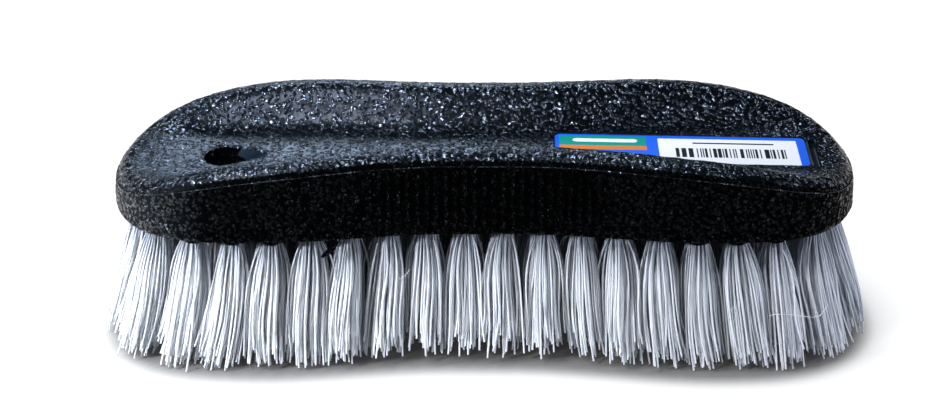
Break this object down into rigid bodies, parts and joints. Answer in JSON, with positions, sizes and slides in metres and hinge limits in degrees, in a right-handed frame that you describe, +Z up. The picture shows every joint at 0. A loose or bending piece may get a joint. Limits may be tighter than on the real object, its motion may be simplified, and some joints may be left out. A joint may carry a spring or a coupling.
{
  "type": "hand scrub brush",
  "caption": "Waisted plastic hand brush with raised grip rims along a trough, a hanging hole, a blank label in a seat and rows of stiff bristle tufts.",
  "frame": {"origin": "centre of the plane that the bristle tips stand on", "axes": "+Z up, from the bristle tips to the block's top; +X along the block, from the hanging hole's end to the label's end; +Y across the block"},
  "size_m": [0.209, 0.0658, 0.061],
  "materials": {
    "black_plastic": "moulded leather grain",
    "label_paper": "coated label",
    "white_bristle": "drawn filament"
  },
  "bodies": {
    "root": {"brush_block": "black_plastic", "label": "label_paper", "tuft_row_01": "white_bristle", "tuft_row_02_back": "white_bristle", "tuft_row_02_front": "white_bristle", "tuft_row_03": "white_bristle", "tuft_row_04": "white_bristle", "tuft_row_05": "white_bristle", "tuft_row_06": "white_bristle", "tuft_row_07": "white_bristle", "tuft_row_08": "white_bristle", "tuft_row_09": "white_bristle", "tuft_row_10": "white_bristle", "tuft_row_11": "white_bristle", "tuft_row_12": "white_bristle", "tuft_row_13": "white_bristle", "tuft_row_14": "white_bristle", "tuft_row_15": "white_bristle", "tuft_row_16": "white_bristle", "tuft_row_17": "white_bristle", "tuft_row_18": "white_bristle"}
  },
  "joints": []
}
